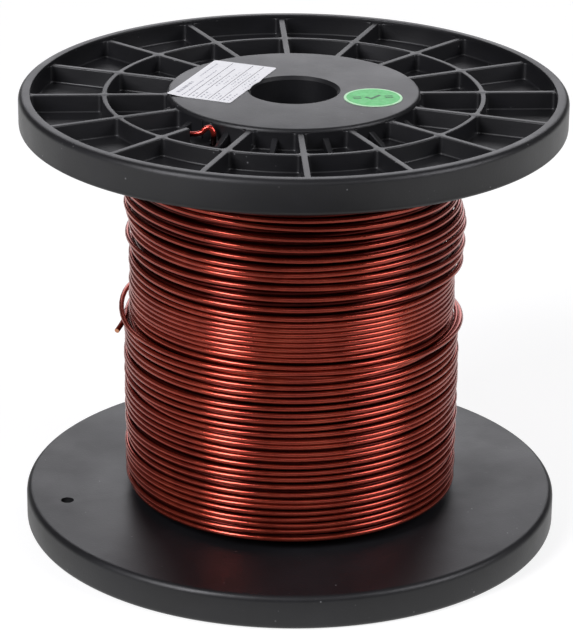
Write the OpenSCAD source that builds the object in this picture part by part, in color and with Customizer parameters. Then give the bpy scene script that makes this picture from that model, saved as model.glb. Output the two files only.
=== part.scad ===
// Moulded plastic wire spool, partly filled with enamelled copper wire.
// It stands on its lower flange with its axis up. The origin is the centre of its base.
// Angles round the axis are counted from the front (-Y) towards the right (+X).

/* [Spool] */
// Diameter of both flanges
flange_d = 165; // [150:1:200]
// Height from outer face to outer face
spool_h = 139; // [110:1:170]
// Thickness of a flange at its rim
flange_t = 10.8; // [10:0.1:14]
// Width of the flange's rim, seen from its outer face
rim_w = 3.6; // [3:0.1:6]
// Thickness of the solid web of a flange
web_t = 4.3; // [3:0.1:5]
// Diameter of the hub and of the barrel that the wire is wound on
barrel_d = 76; // [70:1:82]
// Wall thickness of the barrel
barrel_wall = 2.5; // [2:0.1:4]

/* [Spindle hole] */
// Radius of the spindle hole
bore_r = 13; // [8:0.1:15]
// Chamfer at both mouths of the spindle hole
bore_chamfer = 1; // [0.5:0.1:1.5]
// Wall thickness of the arbor tube
arbor_wall = 2.5; // [2:0.1:4]

/* [Ribs] */
// Number of ribs on a flange, and of the short fins between them
rib_count = 16; // [8:1:20]
// Angle of the first rib
rib_angle = 3; // [0:0.5:20]
// Thickness of a rib
rib_t = 2; // [1.5:0.1:3]
// How far the ribs and the ring lie below the rim and the hub face
rib_recess = 1.1; // [0.5:0.1:2]
// Outer radius of the stiffening ring
ring_r = 57.6; // [55:0.1:62]
// Thickness of the stiffening ring
ring_t = 1.6; // [1.2:0.1:3]
// Thickness of a fin
fin_t = 1.7; // [1.2:0.1:3]
// Length of a fin along the web
fin_l = 7.5; // [5:0.1:9]

/* [Wire] */
// Diameter of the wire over its enamel
wire_d = 1.55; // [1:0.05:1.8]
// Radius of the finished winding
winding_r = 50; // [49:0.1:50.4]
// Radius of its lower part, where one more layer lies
lower_winding_r = 51.8; // [51.4:0.1:52.1]
// Radius where the outer, visible layers begin
inner_winding_r = 45; // [42:0.5:47]

/* [Labels] */
// Size of the paper label
label_size = [37.4, 20.5]; // [15:0.1:38]
// Diameter of the round sticker
sticker_d = 17.5; // [10:0.5:19]
// Thickness of the label and the sticker
paper_t = 0.15; // [0.1:0.05:0.3]

/* [Hidden] */
$fn = 96;

black = [0.10, 0.10, 0.11];
red_enamel = [0.45, 0.07, 0.04];
paper_white = [0.90, 0.90, 0.88];
sticker_green = [0.30, 0.75, 0.35];

flange_r = flange_d / 2;
barrel_r = barrel_d / 2;
rim_r = flange_r - rim_w;
rib_top = flange_t - rib_recess;
rib_edge = 0.4;           // chamfer along the top edges of a rib
ring_edge = 0.25;         // and of the ring; equal chamfers would start at one point
rim_outer_round = 1;      // rounding of the rim at the flange's outer face
rim_inner_round = 2;      // rounding of the rim at the face that meets the wire
hub_round = 1.2;
hub_face_t = 3;
hub_wall = 3.5;
collar_depth = 7;         // depth of the socket that holds an end of the arbor tube
collar_wall = 2.4;
spigot_l = 8;             // length of the ring that locates an end of the barrel
spigot_wall = 2.4;
glue_gap = 0.1;
weld = 0.5;               // how far one feature of a moulding runs into the next
fin_drop = 1.6;           // how far the top of a fin lies below the ribs
cut_over = 1;             // how far a cutting shape passes beyond what it cuts

// Both flanges come from one mould. Turning one over about this line gives the other.
turn_over_angle = -42;
notched_rib = -2;         // rib that is cut back so that the wire can pass
notch_r = 46;             // radius at which that rib begins
start_hole_r = 1.3;
start_hole_pos = [40.4, -35];   // radius and angle
finish_hole_r = 2;
finish_hole_pos = [71, rib_angle - 180 / rib_count];

winding_gap = 1.6;        // outer layers stop one turn short of each flange
last_layer_z = 66.2;      // height where the last layer stops
traverse = spool_h - 2 * flange_t;

label_pos = [-21.6, 7.4];
label_turn = -21.2;
label_gap = 0.1;          // from the spindle hole's chamfer to the label's edge
sticker_pos = [23.6, -7.3];

// Route of the wire's start: up through the start hole, over, and along beside the hub.
start_points = [[-23.2, -33.1, 128.2], [-23.2, -33.1, 131], [-23.2, -33, 134],
    [-23.3, -32.8, 136.2], [-24.2, -32.5, 137.5], [-25.6, -32.3, 137.2],
    [-26.6, -32.2, 136.1], [-28, -32, 135.5], [-30, -31.8, 135.3],
    [-32, -31.7, 135.4], [-34, -31.8, 135.6]];
start_steps = 4;          // rings between two points of that route

// Route of the wire's finish: one loose turn over the winding, then a short cut end.
finish_rings = 74;
finish_from = -148;       // angle where the loose turn begins
finish_sweep = 415;       // angle that it turns through
loop_angle = -84;         // where it stands out furthest
loop_bulge = 1.4;
loop_width = 20;
lay_gap = 0.05;           // between the winding and the loose turn over it
finish_lay_r = winding_r + wire_d / 2 + lay_gap;
finish_z = 71.9;
drop_from = -100;         // angle where it begins to come down to the last layer
drop_sweep = 34;          // angle that this takes
finish_drop = 4.5;        // how far it comes down
tail_points = [[-50.8, -1.2, 67.3], [-51, -5.2, 67.1], [-51.9, -9, 66.4],
    [-53.2, -12.3, 65.4]];

// Unit vector in the plan at an angle from the front.
function heading(a) = [sin(a), -cos(a), 0];

// Point on a smooth curve through four points, u of the way from b to c.
function curve_point(a, b, c, d, u) =
    0.5 * (2 * b + (c - a) * u + (2 * a - 5 * b + 4 * c - d) * u * u
    + (3 * b - a - 3 * c + d) * u * u * u);

// Smooth route through the points, with a number of steps between each two.
function smooth_route(p, steps) = concat(
    [for (i = [0 : len(p) - 2], k = [0 : steps - 1])
        curve_point(p[max(i - 1, 0)], p[i], p[i + 1], p[min(i + 2, len(p) - 1)], k / steps)],
    [p[len(p) - 1]]);

// Direction of a route at its point i.
function along(p, i) =
    let (d = p[min(i + 1, len(p) - 1)] - p[max(i - 1, 0)]) d / norm(d);

// Moves its children out from the axis by a radius, along an angle.
module place_at(radius, angle) {
    translate(radius * heading(angle)) children();
}

// Tube of eight sides swept along a route. up is a direction that the route never takes.
module wire_tube(route, up) {
    sides = 8;
    rings = len(route);
    points = [for (i = [0 : rings - 1])
        let (t = along(route, i), s = cross(up, t) / norm(cross(up, t)), n = cross(t, s))
        for (k = [0 : sides - 1])
            route[i] + wire_d / 2 * (cos(k * 360 / sides) * s + sin(k * 360 / sides) * n)];
    walls = [for (i = [0 : rings - 2], k = [0 : sides - 1])
        let (m = (k + 1) % sides)
        [i * sides + k, (i + 1) * sides + k, (i + 1) * sides + m, i * sides + m]];
    first_end = [for (k = [0 : sides - 1]) k];
    last_end = [for (k = [sides - 1 : -1 : 0]) (rings - 1) * sides + k];
    polyhedron(points, concat(walls, [first_end, last_end]));
}

// What is cut away to round a corner of a profile: a square less a quarter of a circle.
module rounded_corner(radius) {
    difference() {
        square([radius, radius]);
        circle(r = radius);
    }
}

// Rim of a flange in profile, with both outer edges rounded.
module rim_profile() {
    difference() {
        translate([rim_r, 0]) square([rim_w, flange_t]);
        translate([flange_r - rim_outer_round, flange_t - rim_outer_round])
            rounded_corner(rim_outer_round);
        translate([flange_r - rim_inner_round, rim_inner_round])
            mirror([0, 1]) rounded_corner(rim_inner_round);
    }
}

// Hub of a flange in profile: side wall, face, arbor socket and barrel spigot.
module hub_profile() {
    difference() {
        union() {
            translate([barrel_r - hub_wall, 0]) square([hub_wall, flange_t]);
            translate([bore_r, flange_t - hub_face_t])
                square([barrel_r - bore_r, hub_face_t]);
        }
        translate([barrel_r - hub_round, flange_t - hub_round]) rounded_corner(hub_round);
        polygon([[bore_r, flange_t - bore_chamfer], [bore_r, flange_t],
            [bore_r + bore_chamfer, flange_t]]);
    }
    translate([bore_r + arbor_wall + glue_gap, flange_t - hub_face_t - collar_depth])
        square([collar_wall, collar_depth + weld]);
    translate([barrel_r - barrel_wall - glue_gap - spigot_wall, -spigot_l])
        square([spigot_wall, spigot_l + web_t]);
}

// Section of a rib or the ring above the web, centred on x = 0, with its top edges chamfered.
module bar_section(thickness, edge) {
    side = thickness / 2;
    polygon([[-side, web_t - weld], [side, web_t - weld], [side, rib_top - edge],
        [side - edge, rib_top], [edge - side, rib_top], [-side, rib_top - edge]]);
}

// Rib from one radius out to the rim, along the given angle.
module rib(from_r, angle) {
    rotate([0, 0, angle - 90]) translate([from_r, 0, 0]) rotate([90, 0, 90])
        linear_extrude(rim_r + weld - from_r) bar_section(rib_t, rib_edge);
}

// Short fin that slopes from the hub's side wall down into the web.
module fin(angle) {
    foot = barrel_r - weld;
    top = rib_top - fin_drop;
    toe = barrel_r + fin_l * (top - web_t + weld) / (top - web_t);
    rotate([0, 0, angle - 90]) translate([0, fin_t / 2, 0]) rotate([90, 0, 0])
        linear_extrude(fin_t)
            polygon([[foot, web_t - weld], [toe, web_t - weld], [barrel_r, top], [foot, top]]);
}

// Flange moulding with its inner face at z = 0 and its ribbed outer face up.
module flange() {
    pitch = 360 / rib_count;
    difference() {
        union() {
            rotate_extrude() {
                rim_profile();
                hub_profile();
                translate([ring_r - ring_t / 2, 0]) bar_section(ring_t, ring_edge);
                translate([barrel_r - hub_wall, 0])
                    square([rim_r + weld - barrel_r + hub_wall, web_t]);
            }
            for (i = [notched_rib : notched_rib + rib_count - 1])
                rib(i == notched_rib ? notch_r : barrel_r - weld, rib_angle + i * pitch);
            for (i = [0 : rib_count - 1])
                fin(rib_angle + (i + 0.5) * pitch);
        }
        place_at(start_hole_pos[0], start_hole_pos[1])
            translate([0, 0, -cut_over]) cylinder(r = start_hole_r, h = web_t + 2 * cut_over);
        place_at(finish_hole_pos[0], finish_hole_pos[1])
            translate([0, 0, -cut_over]) cylinder(r = finish_hole_r, h = web_t + 2 * cut_over);
    }
}

module lower_flange() {
    color(black)
        translate([0, 0, flange_t]) rotate(a = 180, v = heading(turn_over_angle)) flange();
}

module upper_flange() {
    color(black) translate([0, 0, spool_h - flange_t]) flange();
}

// Tube between the flanges that carries the wire.
module barrel() {
    color(black) translate([0, 0, flange_t])
        rotate_extrude()
            translate([barrel_r - barrel_wall, 0]) square([barrel_wall, traverse]);
}

// Tube through the middle that lines the spindle hole between the two hub faces.
module arbor_tube() {
    color(black) translate([0, 0, hub_face_t])
        rotate_extrude()
            translate([bore_r, 0]) square([arbor_wall, spool_h - 2 * hub_face_t]);
}

// Buried layers of the wire.
module inner_winding() {
    color(red_enamel) translate([0, 0, flange_t])
        rotate_extrude()
            translate([barrel_r, 0]) square([inner_winding_r - barrel_r, traverse]);
}

// Outer layers of the wire, with their shoulders rounded off beside the flanges.
// The last layer goes only partway up, so the lower part is thicker.
module outer_winding() {
    shoulder = 2 * wire_d;
    low = flange_t + winding_gap;
    high = spool_h - low;
    color(red_enamel)
        rotate_extrude()
            difference() {
                union() {
                    translate([inner_winding_r, low])
                        square([winding_r - inner_winding_r, high - low]);
                    translate([inner_winding_r, low])
                        square([lower_winding_r - inner_winding_r, last_layer_z - low]);
                }
                translate([winding_r - shoulder, high - shoulder])
                    rounded_corner(shoulder);
                translate([lower_winding_r - shoulder, low + shoulder])
                    mirror([0, 1]) rounded_corner(shoulder);
                translate([lower_winding_r - wire_d / 2, last_layer_z - wire_d / 2])
                    rounded_corner(wire_d / 2);
            }
}

// Start of the wire, brought out through the upper flange and hooked over beside the hub.
module wire_start_end() {
    color(red_enamel) wire_tube(smooth_route(start_points, start_steps), [0, 1, 0]);
}

// Loose last turn over the winding, and the cut end that is tucked under it.
module wire_finish_end() {
    turn = [for (i = [0 : finish_rings - 1])
        let (a = finish_from + finish_sweep * i / (finish_rings - 1),
            bulge = loop_bulge * exp(-pow((a - loop_angle) / loop_width, 2)),
            fallen = max(0, min(1, (a - drop_from) / drop_sweep)),
            z = finish_z - finish_drop * (1 - cos(180 * fallen)) / 2)
        (finish_lay_r + bulge) * heading(a) + [0, 0, z]];
    color(red_enamel) wire_tube(concat(turn, tail_points), [0, 0, 1]);
}

module paper_label() {
    color(paper_white) translate([0, 0, spool_h])
        difference() {
            translate([label_pos[0], label_pos[1], 0]) rotate([0, 0, label_turn])
                translate([-label_size[1] / 2, -label_size[0] / 2, 0])
                    cube([label_size[1], label_size[0], paper_t]);
            translate([0, 0, -cut_over])
                cylinder(r = bore_r + bore_chamfer + label_gap, h = paper_t + 2 * cut_over);
        }
}

module round_sticker() {
    color(sticker_green) translate([sticker_pos[0], sticker_pos[1], spool_h])
        cylinder(r = sticker_d / 2, h = paper_t);
}

lower_flange();
upper_flange();
barrel();
arbor_tube();
inner_winding();
outer_winding();
wire_start_end();
wire_finish_end();
paper_label();
round_sticker();
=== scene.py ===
import math
import random

import bmesh
import bpy
import numpy as np
from mathutils import Matrix, Quaternion, Vector


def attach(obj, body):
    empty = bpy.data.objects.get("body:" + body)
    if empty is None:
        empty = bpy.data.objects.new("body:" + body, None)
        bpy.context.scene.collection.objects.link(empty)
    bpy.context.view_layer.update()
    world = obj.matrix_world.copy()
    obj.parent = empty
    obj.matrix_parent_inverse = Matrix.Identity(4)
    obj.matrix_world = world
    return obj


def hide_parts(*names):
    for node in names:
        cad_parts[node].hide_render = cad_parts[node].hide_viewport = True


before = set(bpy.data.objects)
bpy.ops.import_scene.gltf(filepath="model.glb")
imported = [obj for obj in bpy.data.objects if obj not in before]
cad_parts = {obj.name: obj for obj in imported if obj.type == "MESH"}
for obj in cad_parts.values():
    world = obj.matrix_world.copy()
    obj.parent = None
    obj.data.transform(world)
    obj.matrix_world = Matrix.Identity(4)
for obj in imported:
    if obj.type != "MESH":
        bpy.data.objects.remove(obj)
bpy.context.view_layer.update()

# All lengths below are in millimetres, and turn into metres where a mesh is made.
# Angles round the axis are counted in degrees from the front (-Y) towards the right (+X).
MM = 0.001

# The spool, as in the CAD model
FLANGE_R, SPOOL_H, FLANGE_T = 82.5, 139.0, 10.8
RIM_IN, RIB_TOP, WEB_T = 78.9, 9.7, 4.3
HUB_R, BORE_R, CHAMFER = 38.0, 13.0, 1.0
RING_OUT, RING_IN = 57.6, 56.0
RIB_COUNT, RIB_ANGLE, RIB_HALF = 16, 3.0, 1.0
NOTCHED_RIB, NOTCH_R = -2, 46.0
TURN_OVER_ANGLE = -42.0
FIN_HALF, FIN_L, FIN_TOP = 0.85, 7.5, 8.1
START_HOLE, START_HOLE_R = (40.4, -35.0), 1.3
FINISH_HOLE, FINISH_HOLE_R = (71.0, -8.25), 2.0
WIRE_D = 1.55
WINDING_LOW, WINDING_HIGH = 13.4, 126.6


def heading(degrees):
    a = math.radians(degrees)
    return np.array([math.sin(a), -math.cos(a), 0.0])


# ---------------------------------------------------------------- materials

def new_material(name):
    m = bpy.data.materials.new(name)
    m.use_nodes = True
    tree = m.node_tree
    return m, tree, tree.nodes["Principled BSDF"]


def add(tree, kind, **values):
    """A new node, with its inputs and settings by name."""
    node = tree.nodes.new(kind)
    for key, value in values.items():
        socket = key.replace("_", " ")
        if socket in node.inputs:
            node.inputs[socket].default_value = value
        else:
            setattr(node, key, value)
    return node


def ramp(tree, source, stops):
    node = tree.nodes.new("ShaderNodeValToRGB")
    for element in list(node.color_ramp.elements)[1:]:
        node.color_ramp.elements.remove(element)
    node.color_ramp.elements[0].position = stops[0][0]
    node.color_ramp.elements[0].color = (*stops[0][1], 1)
    for place, colour in stops[1:]:
        node.color_ramp.elements.new(place).color = (*colour, 1)
    tree.links.new(source, node.inputs[0])
    return node.outputs["Color"]


def grey(v):
    return (v, v, v)


def noise(tree, coordinates, scale, detail=3.0, rough=0.5):
    node = add(tree, "ShaderNodeTexNoise", Scale=scale, Detail=detail, Roughness=rough)
    tree.links.new(coordinates, node.inputs["Vector"])
    return node.outputs["Fac"]


def plastic():
    """Satin black moulding: fine texture, dust specks, faint scuffs and flow marks."""
    m, t, b = new_material("spool_plastic_satin")
    at = add(t, "ShaderNodeTexCoord").outputs["Object"]
    base = ramp(t, noise(t, at, 45, 4, 0.6), [(0.3, (0.006, 0.006, 0.007)), (0.7, (0.011, 0.011, 0.013))])
    specks = add(t, "ShaderNodeTexVoronoi", Scale=420.0, Randomness=1.0)
    t.links.new(at, specks.inputs["Vector"])
    dot = ramp(t, specks.outputs["Distance"], [(0.0, grey(1)), (0.085, grey(1)), (0.13, grey(0))])
    rare = ramp(t, noise(t, at, 170, 2, 0.5), [(0.60, grey(0)), (0.68, grey(1))])
    both = add(t, "ShaderNodeMath", operation="MULTIPLY")
    t.links.new(dot, both.inputs[0])
    t.links.new(rare, both.inputs[1])
    dusty = add(t, "ShaderNodeMix", data_type="RGBA")
    dusty.inputs[7].default_value = (0.13, 0.13, 0.135, 1)
    t.links.new(both.outputs[0], dusty.inputs[0])
    t.links.new(base, dusty.inputs[6])
    t.links.new(dusty.outputs[2], b.inputs["Base Color"])
    rough = ramp(t, noise(t, at, 28, 5, 0.62), [(0.25, grey(0.34)), (0.75, grey(0.50))])
    t.links.new(rough, b.inputs["Roughness"])
    bump = add(t, "ShaderNodeBump", Strength=0.16, Distance=0.0002)
    t.links.new(noise(t, at, 1500, 3, 0.6), bump.inputs["Height"])
    t.links.new(bump.outputs[0], b.inputs["Normal"])
    b.inputs["IOR"].default_value = 1.5
    return m


def enamel(name, dark, middle, light, coat=0.45):
    """Red enamel over copper: tinted metal, under a clear coat where coat is above 0."""
    m, t, b = new_material(name)
    at = add(t, "ShaderNodeTexCoord").outputs["Object"]
    tone = ramp(t, noise(t, at, 60, 4, 0.6), [(0.25, dark), (0.55, middle), (0.8, light)])
    t.links.new(tone, b.inputs["Base Color"])
    b.inputs["Metallic"].default_value = 0.85
    rough = ramp(t, noise(t, at, 240, 4, 0.6), [(0.3, grey(0.17)), (0.7, grey(0.27))])
    t.links.new(rough, b.inputs["Roughness"])
    bump = add(t, "ShaderNodeBump", Strength=0.03, Distance=0.0002)
    t.links.new(noise(t, at, 700, 2, 0.5), bump.inputs["Height"])
    t.links.new(bump.outputs[0], b.inputs["Normal"])
    b.inputs["Coat Weight"].default_value = coat
    b.inputs["Coat Roughness"].default_value = 0.16
    b.inputs["Coat IOR"].default_value = 1.5
    return m


def darker_below(material, low, high, share):
    """Deepens the material's colour to a share of itself under a height, in metres, of the object."""
    t, b = material.node_tree, material.node_tree.nodes["Principled BSDF"]
    split = add(t, "ShaderNodeSeparateXYZ")
    t.links.new(add(t, "ShaderNodeTexCoord").outputs["Object"], split.inputs[0])
    rise = add(t, "ShaderNodeMapRange", From_Min=low, From_Max=high)
    t.links.new(split.outputs["Z"], rise.inputs["Value"])
    mix = add(t, "ShaderNodeMix", data_type="RGBA", blend_type="MULTIPLY")
    mix.inputs[0].default_value = 1.0
    shade = ramp(t, rise.outputs[0], [(0.0, grey(share)), (1.0, grey(1))])
    tone = b.inputs["Base Color"].links[0].from_socket
    t.links.new(tone, mix.inputs[6])
    t.links.new(shade, mix.inputs[7])
    t.links.new(mix.outputs[2], b.inputs["Base Color"])


def simple(name, low, high, scale, roughness):
    """Two tones of one colour in a fine grain, for paper, print and bare copper."""
    m, t, b = new_material(name)
    at = add(t, "ShaderNodeTexCoord").outputs["Object"]
    t.links.new(ramp(t, noise(t, at, scale, 4, 0.6), [(0.35, low), (0.65, high)]), b.inputs["Base Color"])
    fine = noise(t, at, scale * 1.7, 3, 0.5)
    rough = ramp(t, fine, [(0.3, grey(roughness - 0.06)), (0.7, grey(roughness + 0.06))])
    t.links.new(rough, b.inputs["Roughness"])
    return m


PLASTIC = plastic()
ENAMEL = enamel("red_enamelled_copper", (0.28, 0.028, 0.015), (0.39, 0.048, 0.024), (0.49, 0.080, 0.040))
# Painted shade: a darker copy of the enamel, without its coat, for wire that lies under later turns and for
# the buried winding.
SHADED_ENAMEL = enamel("red_enamelled_copper_painted_shade",
                     (0.060, 0.006, 0.004), (0.095, 0.009, 0.006), (0.14, 0.014, 0.009), coat=0.0)
# Painted light: a brighter copy of the enamel for the start of the wire, which lies alone in the light; its
# upright part gets painted shade below.
LIT_ENAMEL = enamel("red_enamelled_copper_painted_light",
                       (0.66, 0.045, 0.03), (0.75, 0.06, 0.04), (0.82, 0.10, 0.07), coat=0.5)
darker_below(LIT_ENAMEL, 0.1350, 0.1366, 0.02)    # the upright part of the start is in the recess's shade
PAPER = simple("label_paper_white", (0.90, 0.90, 0.92), (0.98, 0.98, 0.99), 900, 0.62)
PRINT = simple("label_print_dark", (0.025, 0.025, 0.035), (0.06, 0.06, 0.08), 1600, 0.6)
GREEN = simple("sticker_green_film", (0.04, 0.50, 0.10), (0.07, 0.62, 0.15), 500, 0.42)
PALE_PRINT = simple("label_print_grey", (0.34, 0.34, 0.38), (0.55, 0.55, 0.59), 1600, 0.6)
PALE_GREEN = simple("sticker_border_pale", (0.42, 0.80, 0.44), (0.55, 0.88, 0.56), 500, 0.42)
DARK_GREEN = simple("sticker_print_dark", (0.012, 0.10, 0.03), (0.02, 0.15, 0.045), 900, 0.5)
COPPER = simple("bare_copper_end", (0.62, 0.27, 0.15), (0.76, 0.38, 0.23), 900, 0.3)
COPPER.node_tree.nodes["Principled BSDF"].inputs["Metallic"].default_value = 1.0


# ---------------------------------------------------------------- mesh helpers

def raw_mesh(name, vertices, faces):
    mesh = bpy.data.meshes.new(name)
    mesh.from_pydata([tuple(v) for v in np.asarray(vertices, float)], [], [tuple(map(int, f)) for f in faces])
    return mesh


def add_piece(name, vertices, faces, material, slot, smooth_below=40):
    """A new mesh object in the part's own frame, shaded smooth except over sharp edges."""
    mesh = raw_mesh(name, np.asarray(vertices, float) * MM, faces)
    return finish_piece(name, mesh, material, smooth_below)


def finish_piece(name, mesh, material, smooth_below=40):
    mesh.validate()
    mesh.shade_smooth()
    mesh.set_sharp_from_angle(angle=math.radians(smooth_below))
    mesh.materials.clear()
    mesh.materials.append(material)
    piece = bpy.data.objects.new(name, mesh)
    bpy.context.scene.collection.objects.link(piece)
    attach(piece, "root")
    return piece


def lathe(profile, steps):
    """Vertices and faces of a closed profile of (radius, height) turned about the axis."""
    a = np.radians(np.arange(steps) * 360 / steps)
    p = np.array(profile, float)
    x, y = np.outer(np.cos(a), p[:, 0]), np.outer(np.sin(a), p[:, 0])
    v = np.stack([x, y, np.tile(p[:, 1], (steps, 1))], -1)
    n = len(p)
    f = [(i * n + k, ((i + 1) % steps) * n + k, ((i + 1) % steps) * n + (k + 1) % n, i * n + (k + 1) % n)
         for i in range(steps) for k in range(n)]
    return v.reshape(-1, 3), f


def arc(cx, cy, r, start, end, steps):
    return [(cx + r * math.cos(math.radians(a)), cy + r * math.sin(math.radians(a)))
            for a in np.linspace(start, end, steps + 1)]


def tube(points, radius, sides):
    """Tube along an open route, its section kept upright. Its last face is its far end."""
    p = np.asarray(points, float)
    t = np.gradient(p, axis=0)
    t /= np.linalg.norm(t, axis=1)[:, None]
    up = np.array([0.0, 0.0, 1.0])
    s = np.cross(up, t)
    weak = np.linalg.norm(s, axis=1) < 1e-3
    s[weak] = (1, 0, 0)
    s /= np.linalg.norm(s, axis=1)[:, None]
    n = np.cross(t, s)
    a = np.arange(sides) * 2 * math.pi / sides
    v = p[:, None] + radius * (np.cos(a)[None, :, None] * s[:, None] + np.sin(a)[None, :, None] * n[:, None])
    i = np.arange(len(p) - 1)[:, None] * sides
    k = np.arange(sides)[None, :]
    m = (k + 1) % sides
    f = np.stack([i + k, i + sides + k, i + sides + m, i + m], -1).reshape(-1, 4)
    faces = [tuple(x) for x in f]
    faces.append(tuple(range(sides)))
    faces.append(tuple(range(len(p) * sides - 1, (len(p) - 1) * sides - 1, -1)))
    return v.reshape(-1, 3), faces


def cut_away(target, cutter):
    """The target's mesh with the cutter's taken away; both are meshes."""
    a = bpy.data.objects.new("cut_target", target)
    b = bpy.data.objects.new("cut_tool", cutter)
    for o in (a, b):
        bpy.context.scene.collection.objects.link(o)
    cut = a.modifiers.new("cut", "BOOLEAN")
    cut.object, cut.operation, cut.solver = b, "DIFFERENCE", "EXACT"
    result = bpy.data.meshes.new_from_object(a.evaluated_get(bpy.context.evaluated_depsgraph_get()))
    for o in (a, b):
        bpy.data.objects.remove(o)
    return result


def mesh_of(vertices, faces):
    """Mesh in millimetres with its faces turned outwards."""
    mesh = raw_mesh("shape", vertices, faces)
    work = bmesh.new()
    work.from_mesh(mesh)
    bmesh.ops.recalc_face_normals(work, faces=work.faces)
    work.to_mesh(mesh)
    work.free()
    return mesh


# ---------------------------------------------------------------- flanges

EDGE = 0.35             # rounding along the top edges of ribs and ring
FLOOR_FILLET = 0.6
PLAN_FILLET = 1.3       # upright corners of the recesses
LEDGE = 0.04            # keeps a recess's wall off the rim's and the hub's
HOLLOW_R, HOLLOW_TOP = 34.5, 7.8                # the hollow under the hub face
HUB_ROUND, RIM_INNER_ROUND = 1.2, 0.35
RIM_TOP_ROUND, RIM_LOW_ROUND = 1.8, 2           # the CAD model has 1 mm at the top


def flange_blank():
    """The flange without its recesses: rim, hub and a full slab as high as the ribs."""
    profile = [(BORE_R, HOLLOW_TOP), (BORE_R, FLANGE_T - CHAMFER), (BORE_R + CHAMFER, FLANGE_T)]
    profile += arc(HUB_R - HUB_ROUND, FLANGE_T - HUB_ROUND, HUB_ROUND, 90, 0, 5)
    profile += [(HUB_R, RIB_TOP), (RIM_IN, RIB_TOP)]
    profile += arc(RIM_IN + RIM_INNER_ROUND, FLANGE_T - RIM_INNER_ROUND, RIM_INNER_ROUND, 180, 90, 3)
    profile += arc(FLANGE_R - RIM_TOP_ROUND, FLANGE_T - RIM_TOP_ROUND, RIM_TOP_ROUND, 90, 0, 6)
    profile += arc(FLANGE_R - RIM_LOW_ROUND, RIM_LOW_ROUND, RIM_LOW_ROUND, 0, -90, 6)
    profile += [(HOLLOW_R, 0), (HOLLOW_R, HOLLOW_TOP)]
    return mesh_of(*lathe(profile, 288))


def rounded_outline(corners, radius, steps=5):
    """Closed outline with each corner of the polygon rounded where asked.
    corners holds (point, round it or not, flare at its top or not)."""
    n, out = len(corners), []
    for i, (p, rounded, flare) in enumerate(corners):
        p = np.array(p)
        if not rounded:
            out.append((p, flare))
            continue
        a = np.array(corners[i - 1][0]) - p
        b = np.array(corners[(i + 1) % n][0]) - p
        a, b = a / np.linalg.norm(a), b / np.linalg.norm(b)
        half = math.acos(np.clip(a @ b, -1, 1)) / 2
        reach = radius / math.tan(half)
        centre = p + (a + b) / np.linalg.norm(a + b) * radius / math.sin(half)
        u, w = p + a * reach - centre, p + b * reach - centre
        swing = math.atan2(u[0] * w[1] - u[1] * w[0], u @ w)
        for k in range(steps + 1):
            c, s = math.cos(swing * k / steps), math.sin(swing * k / steps)
            out.append((centre + np.array([u[0] * c - u[1] * s, u[0] * s + u[1] * c]), flare))
    return out


def recess_cutter(inner_r, outer_r, middle_angle, rim_side):
    """Tool for one recess between two ribs: rounded upright corners and floor, flared at the rib tops."""
    half_cell = 180 / RIB_COUNT

    def side_angle(r):
        return math.degrees(math.asin(RIB_HALF / r))

    def at(r, a):
        return r * heading(a)[:2]

    lo, hi = middle_angle - half_cell, middle_angle + half_cell
    low_out, high_out = lo + side_angle(outer_r), hi - side_angle(outer_r)
    low_in, high_in = lo + side_angle(inner_r), hi - side_angle(inner_r)
    outer_flare, inner_flare = (0, 1) if rim_side else (1, 0)
    corners = [(at(outer_r, low_out), True, 1)]
    corners += [(at(outer_r, a), False, outer_flare) for a in np.linspace(low_out, high_out, 12)[1:-1]]
    corners += [(at(outer_r, high_out), True, 1), (at(inner_r, high_in), True, 1)]
    corners += [(at(inner_r, a), False, inner_flare) for a in np.linspace(high_in, low_in, 10)[1:-1]]
    corners += [(at(inner_r, low_in), True, 1)]
    outline = rounded_outline(corners, PLAN_FILLET)
    points = np.array([p for p, _ in outline])
    flare = np.array([f for _, f in outline], float)
    flare = (np.roll(flare, 1) + flare + np.roll(flare, -1)) / 3
    flare[np.array([f for _, f in outline]) == 0] = 0
    ahead, behind = np.roll(points, -1, 0), np.roll(points, 1, 0)
    tangent = ahead - behind
    tangent /= np.linalg.norm(tangent, axis=1)[:, None]
    outward = np.stack([tangent[:, 1], -tangent[:, 0]], -1)
    centre = points.mean(0)
    if ((points - centre) * outward).sum() < 0:
        outward = -outward
    levels = [(FLOOR_FILLET * math.sin(a) - FLOOR_FILLET,
               WEB_T + FLOOR_FILLET - FLOOR_FILLET * math.cos(a), 0)
              for a in np.radians([0, 22, 45, 68, 90])]
    levels += [(0, RIB_TOP - EDGE, 0)]
    levels += [(0, RIB_TOP - EDGE + EDGE * math.sin(a), EDGE * (1 - math.cos(a)))
               for a in np.radians([30, 60, 90])]
    levels += [(0, RIB_TOP + 0.3, EDGE)]
    rings = []
    for inset, z, flared in levels:
        flat = points + outward * (inset + flare * flared)[:, None]
        rings.append(np.column_stack([flat, np.full(len(flat), z)]))
    n = len(points)
    v = np.vstack(rings)
    f = [(j * n + i, j * n + (i + 1) % n, (j + 1) * n + (i + 1) % n, (j + 1) * n + i)
         for j in range(len(rings) - 1) for i in range(n)]
    f += [tuple(range(n - 1, -1, -1)), tuple(range(len(v) - n, len(v)))]
    return v, f


def cylinder(radius, low, high, centre, steps=28):
    a = np.arange(steps) * 2 * math.pi / steps
    ring = np.column_stack([centre[0] + radius * np.cos(a), centre[1] + radius * np.sin(a)])
    v = np.vstack([np.column_stack([ring, np.full(steps, z)]) for z in (low, high)])
    f = [(i, (i + 1) % steps, steps + (i + 1) % steps, steps + i) for i in range(steps)]
    return v, f + [tuple(range(steps - 1, -1, -1)), tuple(range(steps, 2 * steps))]


def joined(shapes):
    v, f, base = [], [], 0
    for vertices, faces in shapes:
        v.append(np.asarray(vertices, float))
        f += [tuple(int(i) + base for i in face) for face in faces]
        base += len(vertices)
    return np.vstack(v), f


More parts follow.
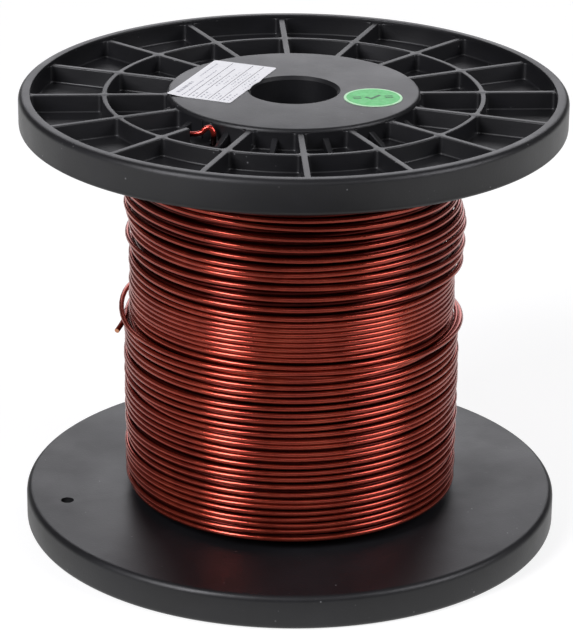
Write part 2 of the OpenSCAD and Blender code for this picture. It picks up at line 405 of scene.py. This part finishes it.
def radial_block(from_r, to_r, half, low, high, angle, slope_to=None):
    """Upright block along a radius. With slope_to its top falls from high to that height."""
    end = high if slope_to is None else slope_to
    section = [(from_r, low), (to_r, low), (to_r, end), (from_r, high)]
    out, side = heading(angle), heading(angle + 90)
    v = [out * r + side * s + np.array([0, 0, z]) for s in (-half, half) for r, z in section]
    f = [(3, 2, 1, 0), (4, 5, 6, 7)] + [(i, (i + 1) % 4, 4 + (i + 1) % 4, 4 + i) for i in range(4)]
    return np.array(v), f


def fin(angle):
    """Short sloping fin beside the hub, its top edges bevelled."""
    block = radial_block(HUB_R - 0.5, HUB_R + FIN_L + 0.3, FIN_HALF, WEB_T - 0.4, FIN_TOP + 0.15,
                         angle, slope_to=WEB_T - 0.1)
    mesh = mesh_of(*block)
    work = bmesh.new()
    work.from_mesh(mesh)
    tops = [e for e in work.edges
            if len(e.link_faces) == 2 and any(f.normal.z > 0.3 for f in e.link_faces)
            and all(v.co.z > WEB_T - 0.2 for v in e.verts)
            and abs(e.verts[0].co.xy.length - e.verts[1].co.xy.length) > 1]
    bmesh.ops.bevel(work, geom=tops, offset=0.3, segments=3, affect="EDGES", profile=0.5)
    v = np.array([x.co for x in work.verts])
    work.verts.index_update()
    f = [tuple(x.index for x in face.verts) for face in work.faces]
    work.free()
    return v, f


def flange_shape():
    pitch = 360 / RIB_COUNT
    cells = [RIB_ANGLE + (i + 0.5) * pitch for i in range(RIB_COUNT)]
    tools = [recess_cutter(RING_OUT, RIM_IN - LEDGE, a, True) for a in cells]
    tools += [recess_cutter(HUB_R + LEDGE, RING_IN, a, False) for a in cells]
    shape = cut_away(flange_blank(), mesh_of(*joined(tools)))
    notch = RIB_ANGLE + NOTCHED_RIB * pitch
    more = [radial_block(HUB_R + LEDGE, NOTCH_R, RIB_HALF + 0.5, WEB_T + 0.01, RIB_TOP + 1, notch)]
    for (r, a), hole_r in ((START_HOLE, START_HOLE_R), (FINISH_HOLE, FINISH_HOLE_R)):
        more.append(cylinder(hole_r, -1, WEB_T + 1, (r * heading(a))[:2]))
    shape = cut_away(shape, mesh_of(*joined(more)))
    work = bmesh.new()
    work.from_mesh(shape)
    for a in cells:
        v, f = fin(a)
        new = [work.verts.new(x) for x in v]
        for face in f:
            work.faces.new([new[i] for i in face])
    bmesh.ops.remove_doubles(work, verts=work.verts, dist=0.002)
    bmesh.ops.recalc_face_normals(work, faces=work.faces)
    work.to_mesh(shape)
    work.free()
    return shape


def make_flange(name, node, shape, placing):
    mesh = shape.copy()
    mesh.transform(Matrix.Diagonal((MM, MM, MM, 1)) @ placing)
    mesh.name = name
    piece = finish_piece(name, mesh, PLASTIC, 32)
    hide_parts(node)


FLANGE_SHAPE = flange_shape()
upright = Matrix.Translation((0, 0, SPOOL_H - FLANGE_T))
turned = Matrix.Translation((0, 0, FLANGE_T)) @ Matrix.Rotation(math.pi, 4, Vector(heading(TURN_OVER_ANGLE)))
make_flange("upper_flange_moulding", "upper_flange", FLANGE_SHAPE, upright)
make_flange("lower_flange_moulding", "lower_flange", FLANGE_SHAPE, turned)

# The buried winding takes the painted-shade copy of the enamel.
for node, material in (("barrel", PLASTIC), ("arbor_tube", PLASTIC), ("inner_winding", SHADED_ENAMEL)):
    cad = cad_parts[node]
    cad.data.materials.clear()
    cad.data.materials.append(material)


# ---------------------------------------------------------------- winding

STEPS = 96              # steps in a turn
CORE_R = 45.5           # radius that the first modelled layer lies on
LAST_Z = 65.4           # height of the last turn of the last, partial layer

# The loose last turn: where it starts, how far it goes round, and where and how far it comes down
FINISH_FROM, FINISH_SWEEP = -148.0, 415.0
FINISH_Z, DROP_FROM, DROP_SWEEP, FINISH_DROP = 71.9, -100.0, 34.0, 4.5
LOOP_ANGLE, LOOP_WIDTH, LOOP_BULGE = -84.0, 20.0, 1.6
TAIL_POINTS = [(-50.8, -1.2, 67.3), (-51, -5.2, 67.1), (-51.9, -9, 66.4), (-53.2, -12.3, 65.4)]
START_POINTS = [(-23.2, -33.1, 128.2), (-23.2, -33.1, 131), (-23.2, -33, 134), (-23.3, -32.8, 136.2),
                (-24.2, -32.5, 137.5), (-25.6, -32.3, 137.2), (-26.6, -32.2, 136.1), (-28, -32, 135.5),
                (-30, -31.8, 135.3), (-32, -31.7, 135.4), (-34, -31.8, 135.6)]

# How far turns stand off where they hang loose, in the third layer and in the second
RIGHT_SLACK, TOP_LEFT_SLACK, LEFT_SLACK = (3.5, 2.7), (1.4, 0.9), (1.3, 0)
RIGHT_SAG = 0.9         # how far those of the third layer come down at the right
LAST_LAYER_LIFT = 0.15
START_SUNK = 2.0        # depth of the wire's start in the buried wire
START_STEPS = 12        # steps over which it comes up

SPACING = 1.01          # least height from turn to turn of a layer, in wires, before it is smoothed
SPREAD_ROUNDS = 80
rng = random.Random(20)


def smoothstep(x):
    u = np.clip(x, 0, 1)
    return u * u * (3 - 2 * u)


def hump(x, centre, width):
    return np.exp(-((x - centre) / width) ** 2)


def waves(count, low, high, size):
    """Sum of slow random waves, as a function of the number of turns."""
    parts = []
    for _ in range(count):
        pace, phase = rng.uniform(low, high), rng.uniform(0, 2 * math.pi)
        parts.append((pace, phase, rng.uniform(0.6, 1.0) * size / math.sqrt(count)))
    return lambda u: sum(a * np.sin(2 * math.pi * f * u + p) for f, p, a in parts)


def spread_out(z, turns):
    """Pushes turns of a layer apart wherever two would run into each other, and smooths the result."""
    rows = z.reshape(turns, STEPS)
    way = 1 if rows[-1, 0] > rows[0, 0] else -1
    for _ in range(SPREAD_ROUNDS):
        short = np.maximum(WIRE_D * SPACING - way * np.diff(rows, axis=0), 0) * way / 2
        rows[:-1] -= short
        rows[1:] += short
    kernel = np.hanning(11)
    return np.convolve(np.pad(rows.ravel(), 4, mode="edge"), kernel[1:-1] / kernel.sum(), "valid")


def layer_heights(turns, line, drift, tilt, ripple, bunch):
    """Height of the wire at each step of a layer: a plain helix, made uneven away from its ends."""
    u = np.arange(turns * STEPS) / STEPS
    turn = 2 * math.pi * u
    z = waves(6, 0.03, 0.16, drift)(u)
    z += waves(4, 0.02, 0.22, tilt)(u) * np.sin(turn + waves(3, 0.01, 0.08, 2.0)(u))
    z += waves(4, 0.05, 0.45, ripple)(u) * np.sin(2 * turn + waves(3, 0.02, 0.1, 2.5)(u))
    z += waves(5, 0.30, 0.62, bunch)(u)
    z += waves(4, 0.8, 3.2, ripple * 0.4)(u)
    return spread_out(line(u) + z * smoothstep(np.minimum(u, turns - u) / 3), turns)


def lay(heights, most):
    """Height and radius of the wire by turn and step: it lies on whatever was laid before it.
    most is the greatest radius that each turn may reach."""
    rows = len(heights) // STEPS
    z = heights[:rows * STEPS].reshape(rows, STEPS)
    r = np.full_like(z, CORE_R + WIRE_D / 2)
    for i in range(1, rows):
        gap = WIRE_D ** 2 - (z[i] - z[:i]) ** 2
        rest = np.where(gap > 0, r[:i] + np.sqrt(np.maximum(gap, 0)), 0)
        r[i] = np.minimum(np.maximum(r[i], rest.max(0)), most[i])
    # roll also brings the last step round to the first ones, so the very start stands out too far
    flat = r.ravel()
    spread = np.max([np.roll(flat, k) for k in (-1, 0, 1)], axis=0)
    kernel = np.exp(-0.5 * (np.arange(-6, 7) / 2.2) ** 2)
    padded = np.pad(spread, 6, mode="edge")
    return z.ravel(), np.convolve(padded, kernel / kernel.sum(), "valid")


def smooth_route(points, steps):
    """The points joined by a smooth curve, with so many steps between each two."""
    p = np.array(points, float)
    out = []
    for i in range(len(p) - 1):
        a, b, c, d = p[max(i - 1, 0)], p[i], p[i + 1], p[min(i + 2, len(p) - 1)]
        for u in np.arange(steps) / steps:
            out.append(0.5 * (2 * b + (c - a) * u + (2 * a - 5 * b + 4 * c - d) * u * u
                              + (3 * b - a - 3 * c + d) * u ** 3))
    return np.array(out + [p[-1]])


TURNS = (60, 58, 50, 25, 2)
FIRST_DROP = 5.5        # the third layer comes down this much faster over its first turns
SPARSE_DROP = 9.0       # and this much faster over its first dozen
RISE = 0.6              # part of a turn in which the wire climbs from the last layer to the loose turn
down = (WINDING_HIGH - WINDING_LOW) / TURNS[0]
up = (WINDING_HIGH - WINDING_LOW) / TURNS[1]
third = (WINDING_HIGH - WINDING_LOW - FIRST_DROP - SPARSE_DROP) / TURNS[2]
fourth = (LAST_Z - WINDING_LOW) / (TURNS[3] - RISE)
finish_a = FINISH_FROM + np.arange(TURNS[4] * STEPS) * 360 / STEPS


def third_line(u):
    return WINDING_HIGH - third * u - FIRST_DROP * smoothstep(u / 2.5) - SPARSE_DROP * smoothstep(u / 12)


def fourth_line(u):
    climb = (FINISH_Z - LAST_Z) * smoothstep((u - TURNS[3] + RISE) / RISE)
    return WINDING_LOW + fourth * np.minimum(u, TURNS[3] - RISE) + climb


heights = np.concatenate([
    layer_heights(TURNS[0], lambda u: WINDING_HIGH - down * u, drift=0.5, tilt=0.2, ripple=0.12, bunch=0.1),
    layer_heights(TURNS[1], lambda u: WINDING_LOW + up * u, drift=0.8, tilt=0.4, ripple=0.2, bunch=0.15),
    layer_heights(TURNS[2], third_line, drift=1.5, tilt=1.3, ripple=0.5, bunch=0.22),
    layer_heights(TURNS[3], fourth_line, drift=1.0, tilt=0.5, ripple=0.35, bunch=0.2),
    FINISH_Z - FINISH_DROP * smoothstep((finish_a - DROP_FROM) / DROP_SWEEP),
])
heights = np.clip(heights, WINDING_LOW - 0.6, WINDING_HIGH + 0.6)
LAYER_CAPS = (0.5, 1.4, 2.3, 3.2, 4.1)      # greatest rise of each layer, in wires
most = np.repeat([CORE_R + WIRE_D / 2 + cap * WIRE_D for cap in LAYER_CAPS], TURNS)
wire_z, wire_r = lay(heights, most)
step_no = np.arange(len(wire_z))
starts = np.cumsum((0,) + TURNS) * STEPS
wire_a = FINISH_FROM + (step_no - starts[4]) * 360 / STEPS
second_layer = (step_no >= starts[1]) & (step_no < starts[2])
third_layer = (step_no >= starts[2]) & (step_no < starts[3])
fourth_layer = (step_no >= starts[3]) & (step_no < starts[4])
around = (wire_a + 180) % 360 - 180


def looseness_near(angle, width, low, low_fade, high, high_fade):
    """How loose the turns are: 1 about an angle and between two heights, and 0 away from there."""
    share = hump(around, angle, width) * smoothstep((wire_z - low) / low_fade)
    return share * (1 - smoothstep((wire_z - high) / high_fade))


def stand_off(slack):
    """The slack of the third layer and of the second, at the steps that they take up."""
    return np.where(third_layer, slack[0], np.where(second_layer, slack[1], 0))


wire_r -= START_SUNK * (1 - smoothstep(step_no / START_STEPS))
unevenness = 0.8 + waves(5, 0.2, 0.7, 0.35)(step_no / STEPS)
loose = looseness_near(angle=96, width=44, low=82, low_fade=6, high=101, high_fade=8)
wire_r += stand_off(RIGHT_SLACK) * loose * unevenness
wire_z -= np.where(third_layer, RIGHT_SAG * loose, 0)
left = looseness_near(angle=-92, width=24, low=91.5, low_fade=1.2, high=94.2, high_fade=1.2)
wire_r += stand_off(LEFT_SLACK) * left
top_left = looseness_near(angle=-95, width=30, low=99, low_fade=4, high=SPOOL_H, high_fade=1)
wire_r += stand_off(TOP_LEFT_SLACK) * top_left
wire_r += np.where(fourth_layer, LAST_LAYER_LIFT, 0) * smoothstep((step_no - starts[3]) / STEPS)
wire_r += LOOP_BULGE * hump(wire_a, LOOP_ANGLE, LOOP_WIDTH)
route = np.column_stack([wire_r * np.sin(np.radians(wire_a)), -wire_r * np.cos(np.radians(wire_a)), wire_z])


def wire(name, points, sides, material, node=None, cut_end=False):
    """A stretch of the wire. Where its far end is a cut one, bare copper shows there."""
    piece = add_piece(name, *tube(points, WIRE_D / 2, sides), material, "enamelled_wire", 60)
    if node:
        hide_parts(node)
    if cut_end:
        piece.data.materials.append(COPPER)
        piece.data.polygons[-1].material_index = 1


below = np.nonzero(third_layer & (wire_z < LAST_Z))[0][0]
# The buried layers, and the third layer where the fourth covers it, take the painted-shade copy of the
# enamel.
wire("wire_layer_1", route[:starts[1] + 1:2], 6, SHADED_ENAMEL)
wire("wire_layer_2", route[starts[1]:starts[2] + 1], 8, SHADED_ENAMEL)
wire("wire_layer_3_upper", route[starts[2]:below + 1], 12, ENAMEL, "outer_winding")
wire("wire_layer_3_lower", route[below:starts[3] + 1], 8, SHADED_ENAMEL)
wire("wire_layer_4", route[starts[3]:starts[4] + 1], 12, ENAMEL)
turn_end = starts[4] + int(round(FINISH_SWEEP / 360 * STEPS))
into_tail = [route[turn_end - 4], route[turn_end]] + [np.array(q) for q in TAIL_POINTS]
tail = smooth_route(into_tail, 8)[8:]
wire("wire_finish_turn", np.vstack([route[starts[4]:turn_end], tail]), 12, ENAMEL, "wire_finish_end", True)
# The start hook takes the painted-light copy of the enamel.
wire("wire_start_hook", smooth_route(START_POINTS, 10), 16, LIT_ENAMEL, "wire_start_end", True)


# ---------------------------------------------------------------- label and sticker

LABEL_SIZE, LABEL_POS, LABEL_TURN = (37.4, 20.5), (-21.6, 7.4), -21.2
STICKER_R, STICKER_POS, STICKER_TURN = 8.75, (23.6, -7.3), 8.0
PAPER_T, INK_T = 0.15, 0.015


def placed(x, y, z, centre, turn):
    """Points given beside their own centre, turned and moved to their place on the hub face."""
    c, s = math.cos(math.radians(turn)), math.sin(math.radians(turn))
    return np.column_stack([centre[0] + c * x - s * y, centre[1] + s * x + c * y, np.full_like(x, 0.0) + z])


def label_lift(x, y):
    """How far the paper leaves the flat hub face: down into the spindle hole's chamfer, up at one corner."""
    at = placed(x, y, 0, LABEL_POS, LABEL_TURN)
    into_hole = np.clip(BORE_R + CHAMFER - np.hypot(at[:, 0], at[:, 1]), 0, CHAMFER)
    corner = np.hypot(x + LABEL_SIZE[1] / 2, y + LABEL_SIZE[0] / 2)
    return 0.4 * smoothstep(1 - corner / 6) - 0.3 * into_hole


def label_sheet():
    half_w, half_l, corner, cols, rows = LABEL_SIZE[1] / 2, LABEL_SIZE[0] / 2, 0.7, 40, 76
    y = half_l * np.sin(np.linspace(-math.pi / 2, math.pi / 2, rows))
    inset = corner - np.sqrt(np.maximum(corner ** 2 - np.maximum(corner - (half_l - np.abs(y)), 0) ** 2, 0))
    c, s = math.cos(math.radians(LABEL_TURN)), math.sin(math.radians(LABEL_TURN))
    hole_x, hole_y = -c * LABEL_POS[0] - s * LABEL_POS[1], s * LABEL_POS[0] - c * LABEL_POS[1]
    right = np.minimum(half_w, hole_x - np.sqrt(np.maximum((BORE_R + 0.1) ** 2 - (y - hole_y) ** 2, 0)))
    u = np.linspace(0, 1, cols)
    left = -half_w + inset
    x = left[:, None] + (right - inset - left)[:, None] * u[None, :]
    flat_x, flat_y = x.ravel(), np.repeat(y, cols)
    low = placed(flat_x, flat_y, SPOOL_H + label_lift(flat_x, flat_y), LABEL_POS, LABEL_TURN)
    v = np.vstack([low, low + (0, 0, PAPER_T)])
    n = rows * cols
    quads = [(j * cols + i, j * cols + i + 1, (j + 1) * cols + i + 1, (j + 1) * cols + i)
             for j in range(rows - 1) for i in range(cols - 1)]
    edge = list(range(cols)) + [j * cols + cols - 1 for j in range(1, rows)]
    edge += [(rows - 1) * cols + i for i in range(cols - 2, -1, -1)]
    edge += [j * cols for j in range(rows - 2, 0, -1)]
    f = [q[::-1] for q in quads] + [tuple(n + i for i in q) for q in quads]
    f += [(a, b, n + b, n + a) for a, b in zip(edge, edge[1:] + edge[:1])]
    return v, f


def label_strip(x0, x1, y0, y1):
    """Film of ink on the paper between two lines along it, in short pieces so that it follows the paper."""
    count = max(2, int((y1 - y0) / 0.8) + 1)
    y = np.repeat(np.linspace(y0, y1, count), 2)
    x = np.tile([x0, x1], count)
    low = placed(x, y, SPOOL_H + PAPER_T - INK_T + label_lift(x, y), LABEL_POS, LABEL_TURN)
    v = np.vstack([low, low + (0, 0, 2 * INK_T)])
    n = len(low)
    f = []
    for k in range(count - 1):
        a, b, c, d = 2 * k, 2 * k + 1, 2 * k + 3, 2 * k + 2
        f += [(a, d, c, b), (n + a, n + b, n + c, n + d), (a, n + a, n + d, d), (b, c, n + c, n + b)]
    f += [(0, 1, n + 1, n), (n - 2, 2 * n - 2, 2 * n - 1, n - 1)]
    return v, f


def dashes(x, y0, y1, width, shortest, longest, gap):
    """A line of unreadable print: dashes of random length."""
    out, y = [], y0
    while y < y1:
        length = min(rng.uniform(shortest, longest), y1 - y)
        if length > 0.25:
            out.append(label_strip(x - width / 2, x + width / 2, y, y + length))
        y += length + rng.uniform(0.6, 1.4) * gap
    return out


half_w, half_l = LABEL_SIZE[1] / 2, LABEL_SIZE[0] / 2
rules = [(share - 0.5) * LABEL_SIZE[1] for share in (0.315, 0.45, 0.64, 0.81)]
lines = [label_strip(x - 0.09, x + 0.09, 0.9 - half_l, half_l - (6 if k == 1 else 0.9))
         for k, x in enumerate(rules)]
print_rows = dashes(-half_w + 2.3, 3 - half_l, -4, 1.0, 0.5, 1.5, 0.45)
print_rows += dashes(-half_w + 4.6, 1 - half_l, 9, 0.45, 0.4, 1.3, 0.5)
print_rows += dashes(-half_w + 2.2, 2, half_l - 3, 0.5, 0.4, 1.4, 0.5)
for lo, hi in zip(rules, rules[1:] + [half_w]):
    for share in ((0.5,) if hi - lo < 3 else (0.3, 0.68)):
        x = lo + (hi - lo) * share
        print_rows += dashes(x, 1.5 - half_l, -half_l + rng.uniform(5, 9), 0.5, 0.4, 1.6, 0.8)
        print_rows += dashes(x, rng.uniform(-6, -2), rng.uniform(3, 12), 0.42, 0.3, 1.2, 0.9)
label = add_piece("paper_label_sheet", *label_sheet(), PAPER, "label_paper")
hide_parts("paper_label")
add_piece("paper_label_rules", *joined(lines), PRINT, "label_paper")
add_piece("paper_label_print", *joined(print_rows), PALE_PRINT, "label_paper")


def disc(radius, low, high, steps=96, edge=0.04):
    """Film with a rounded upper edge, about the sticker's centre."""
    profile = [(0.001, low), (radius, low), (radius, high - edge), (radius - edge, high), (0.001, high)]
    v, f = lathe(profile, steps)
    return v + np.array([*STICKER_POS, 0]), f


def ink_shape(outline, low, high):
    """Flat outline raised into a film of ink on the sticker."""
    x, y = np.array(outline, float).T
    v = np.vstack([placed(x, y, z, STICKER_POS, STICKER_TURN) for z in (low, high)])
    n = len(x)
    f = [tuple(range(n - 1, -1, -1)), tuple(range(n, 2 * n))]
    return v, f + [(i, (i + 1) % n, n + (i + 1) % n, n + i) for i in range(n)]


top = SPOOL_H + PAPER_T
sticker = add_piece("sticker_disc", *disc(STICKER_R, SPOOL_H, top), PALE_GREEN, "sticker_green")
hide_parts("round_sticker")
field = disc(STICKER_R - 0.75, top - INK_T, top + INK_T, edge=0.01)
add_piece("sticker_field", *field, GREEN, "sticker_green")
tick = [(-2.6, 0.2), (-1.9, 0.9), (-0.7, -0.5), (2.0, 2.3), (2.7, 1.6), (-0.7, -1.9)]
marks = [ink_shape(tick, top, top + 2 * INK_T)]
for side in (-1, 1):
    for level in (-0.9, 0.5):
        bar = [(side * 3.6, level), (side * 6.0, level), (side * 6.0, level + 0.7), (side * 3.6, level + 0.7)]
        marks.append(ink_shape(bar if side > 0 else bar[::-1], top, top + 2 * INK_T))
add_piece("sticker_print", *joined(marks), DARK_GREEN, "sticker_green")


# ---------------------------------------------------------------- floor, light and camera

def white_stage():
    """White floor as the camera sees it, whiter far away. What it throws back at the spool is dimmer
    on a patch in front and in a ring about the spool."""
    m, t, b = new_material("pale_floor")
    b.inputs["Base Color"].default_value = (0.35, 0.35, 0.35, 1)
    b.inputs["Roughness"].default_value = 0.9
    b.inputs["Specular IOR Level"].default_value = 0.0
    b.inputs["Emission Color"].default_value = (1, 1, 1, 1)
    away = add(t, "ShaderNodeVectorMath", operation="DISTANCE")
    away.inputs[1].default_value = (0, -0.44, 0)
    place = add(t, "ShaderNodeNewGeometry").outputs["Position"]
    t.links.new(place, away.inputs[0])
    back = add(t, "ShaderNodeMapRange", From_Min=0.14, From_Max=0.34, To_Min=0.06, To_Max=1.0)
    t.links.new(away.outputs["Value"], back.inputs["Value"])
    thrown = add(t, "ShaderNodeEmission")
    t.links.new(back.outputs[0], thrown.inputs["Strength"])
    from_axis = add(t, "ShaderNodeVectorMath", operation="LENGTH")
    t.links.new(place, from_axis.inputs[0])
    far = add(t, "ShaderNodeMapRange", From_Min=0.7, From_Max=2.2, To_Min=0.78, To_Max=1.0)
    t.links.new(from_axis.outputs["Value"], far.inputs["Value"])
    t.links.new(far.outputs[0], b.inputs["Emission Strength"])
    ring = ramp(t, from_axis.outputs["Value"],
                [(0.10, grey(0.85)), (0.15, grey(0.5)), (0.27, grey(0.5)), (0.38, grey(1))])
    t.links.new(ring, thrown.inputs["Color"])
    mix = add(t, "ShaderNodeMixShader")
    t.links.new(add(t, "ShaderNodeLightPath").outputs["Is Camera Ray"], mix.inputs[0])
    t.links.new(thrown.outputs[0], mix.inputs[1])
    t.links.new(b.outputs[0], mix.inputs[2])
    t.links.new(mix.outputs[0], t.nodes["Material Output"].inputs["Surface"])
    return m


floor_mesh = raw_mesh("floor", [(-6, -6, 0), (6, -6, 0), (6, 6, 0), (-6, 6, 0)], [(0, 1, 2, 3)])
floor = bpy.data.objects.new("floor", floor_mesh)
bpy.context.scene.collection.objects.link(floor)
floor_mesh.materials.append(white_stage())

world = bpy.data.worlds.new("studio")
bpy.context.scene.world = world
world.use_nodes = True
sky = world.node_tree
sky.nodes["Background"].inputs["Color"].default_value = (1, 1, 1, 1)
seen = add(sky, "ShaderNodeMapRange", To_Min=0.07, To_Max=1.0)
sky.links.new(add(sky, "ShaderNodeLightPath").outputs["Is Camera Ray"], seen.inputs["Value"])
sky.links.new(seen.outputs[0], sky.nodes["Background"].inputs["Strength"])


def area_light(name, azimuth, elevation, distance, width, height, power):
    """Softbox that faces the spool from an azimuth and elevation."""
    data = bpy.data.lights.new(name, "AREA")
    data.shape, data.size, data.size_y, data.energy = "RECTANGLE", width, height, power
    light = bpy.data.objects.new(name, data)
    e = math.radians(elevation)
    out = Vector(heading(azimuth)) * math.cos(e) + Vector((0, 0, math.sin(e)))
    data.color = (0.96, 0.955, 1.0)
    light.location = Vector((0, 0, 0.07)) + out * distance
    light.rotation_mode = "QUATERNION"
    light.rotation_quaternion = out.to_track_quat("Z", "Y")
    bpy.context.scene.collection.objects.link(light)


area_light("key_left", -48, 36, 1.3, 0.36, 0.9, 13)
area_light("fill_right", 69, 35, 1.5, 0.65, 0.9, 9.5)
area_light("front", 12, 40, 1.6, 0.9, 0.6, 1.6)
area_light("back_wall", 180, 24, 2.2, 1.6, 1.5, 13)
area_light("top", 180, 75, 1.6, 1.2, 1.2, 1.2)

CAMERA_ROLL = 0.0098
camera_data = bpy.data.cameras.new("camera")
camera_data.sensor_width = 36
camera_data.lens = 180.1
camera = bpy.data.objects.new("camera", camera_data)
camera.location = (-0.00155, -0.9078, 0.4290)
aim = Vector((-0.00155, 0, 0.06556)) - camera.location
camera.rotation_mode = "QUATERNION"
camera.rotation_quaternion = aim.to_track_quat("-Z", "Y") @ Quaternion((0, 0, 1), CAMERA_ROLL)
bpy.context.scene.collection.objects.link(camera)
bpy.context.scene.camera = camera
bpy.context.scene.view_settings.view_transform = "Standard"
